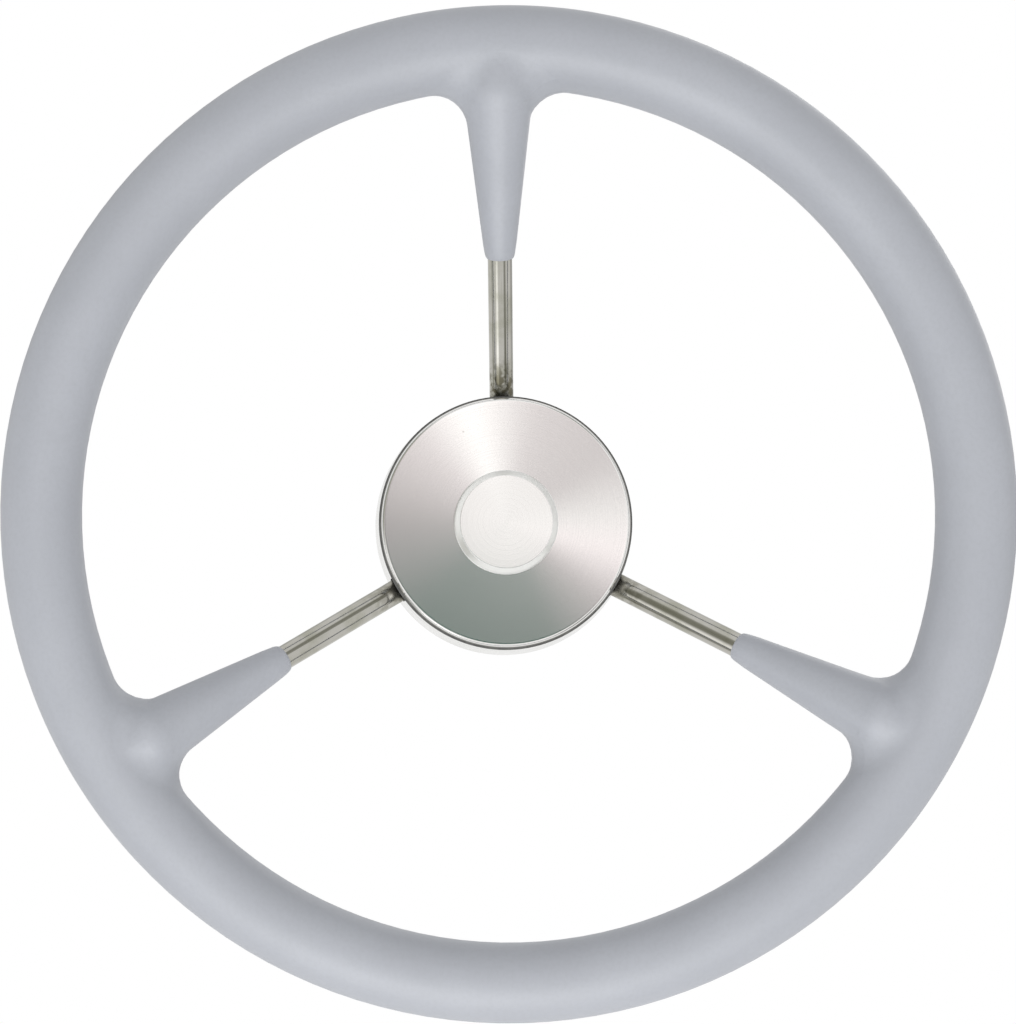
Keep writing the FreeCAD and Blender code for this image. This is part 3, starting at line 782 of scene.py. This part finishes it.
FINISH_FADE = 0.3 * MM  # how far one finish fades into the next
FACE_START = BOSS_RADIUS + 0.1 * MM
EDGE_START = CAP_RADIUS - EDGE_ROUND
on_boss = ramp(tree, from_shaft, shoulder_start - FINISH_FADE, shoulder_start, 1.0, 0.0)
on_face = ramp(tree, from_shaft, FACE_START, BOSS_RADIUS + FOOT_ROUND)
at_edge = ramp(tree, from_shaft, EDGE_START, EDGE_START + FINISH_FADE)
brushed = reckon(tree, "SUBTRACT", on_face, at_edge)
on_shoulder = reckon(tree, "SUBTRACT", reckon(tree, "SUBTRACT", 1.0, on_boss), on_face)
round_about = join(tree, times(tree, z, -1.0), 0.0, x)
spread = blend(tree, on_shoulder, join(tree, x, 0.0, z), round_about)
turned = add_node(
    tree, "VectorTransform", vector_type="VECTOR", convert_from="OBJECT", convert_to="WORLD",
)
feed(tree, turned.inputs[0], spread)
feed(tree, shader.inputs["Tangent"], turned.outputs[0])
print("brushed from", round(FACE_START, 4), "to", round(EDGE_START, 4), "m from the shaft")

# %% [markdown]
# The raised boss is smoother than the face, and the rounded edge is polished bright. Its
# outermost line is rougher, and painted dark: a painted reflection of the dark that the
# rolled edge mirrors. Each place could have a material of its own, with a hard border. One
# material that adds the places up lets them fade into each other. A few coarser circles, a
# fine grain and two small darker spots keep the face from looking like new glass.

# %% Give each place on the cap its finish
# the outermost line of the rounded edge: rougher, and painted dark as a painted reflection
LINE_START, LINE_FULL = CAP_RADIUS - 0.55 * MM, CAP_RADIUS - 0.20 * MM
LINE_FADES, LINE_END = SKIRT_END + 3.0 * MM, SKIRT_END + 2.5 * MM  # depths
before_skirt = ramp(tree, y, -LINE_FADES, -LINE_END, 1.0, 0.0)
painted_dark_edge_line = times(tree, ramp(tree, from_shaft, LINE_START, LINE_FULL), before_skirt)

EDGE_ROUGHNESS = 0.09
FINISHES = ((brushed, 0.165), (on_boss, 0.08), (on_shoulder, 0.30))
roughness = EDGE_ROUGHNESS
for place, rough in FINISHES:
    roughness = reckon(tree, "ADD", roughness, times(tree, place, rough - EDGE_ROUGHNESS))
roughness = reckon(tree, "ADD", roughness, times(tree, painted_dark_edge_line, 0.45))
circles = noise(tree, join(tree, from_shaft, 0.0, 0.0), 0.5 * MM, 5)
roughness = times(tree, roughness, ramp(tree, circles, 0.3, 0.7, 0.92, 1.08))
feed(tree, shader.inputs["Roughness"], roughness)

grain = ramp(tree, noise(tree, coords, 0.35 * MM, 3), 0.3, 0.7)
tone = blend(tree, grain, screen_colour(234, 233, 231), screen_colour(243, 242, 240))
scored = ramp(tree, circles, 0.45, 0.8, 0.0, 0.4)
tone = blend(tree, scored, tone, screen_colour(222, 221, 219))
# the shoulder is painted near white: a painted highlight that brightens the ring it mirrors
tone = blend(tree, on_shoulder, tone, screen_colour(252, 252, 250))
# the painted dark line on the edge, a painted reflection of dark surroundings
tone = blend(tree, times(tree, painted_dark_edge_line, 0.85), tone, screen_colour(124, 124, 120))
# two small spots painted darker, in the colour only, with no relief
DARK_SPOTS = ((-15.9 * MM, 36.2 * MM, 0.55 * MM), (1.2 * MM, -23.4 * MM, 0.5 * MM))  # x, z, radius
for spot_x, spot_z, spot_radius in DARK_SPOTS:
    away = add_node(tree, "VectorMath", operation="DISTANCE")
    feed(tree, away.inputs[0], join(tree, x, 0.0, z))
    away.inputs[1].default_value = (spot_x, 0, spot_z)
    in_dark_spot = ramp(tree, away.outputs["Value"], 0.0, spot_radius, 0.6, 0.0)
    tone = blend(tree, in_dark_spot, tone, screen_colour(150, 147, 140))
feed(tree, shader.inputs["Base Color"], tone)
cap_mesh.materials.append(cap_steel)
print("cap skin is", cap_steel.name)

# %% [markdown]
# The last cell sets the view transform.

# %% Set the view transform
bpy.context.scene.view_settings.view_transform = "Standard"
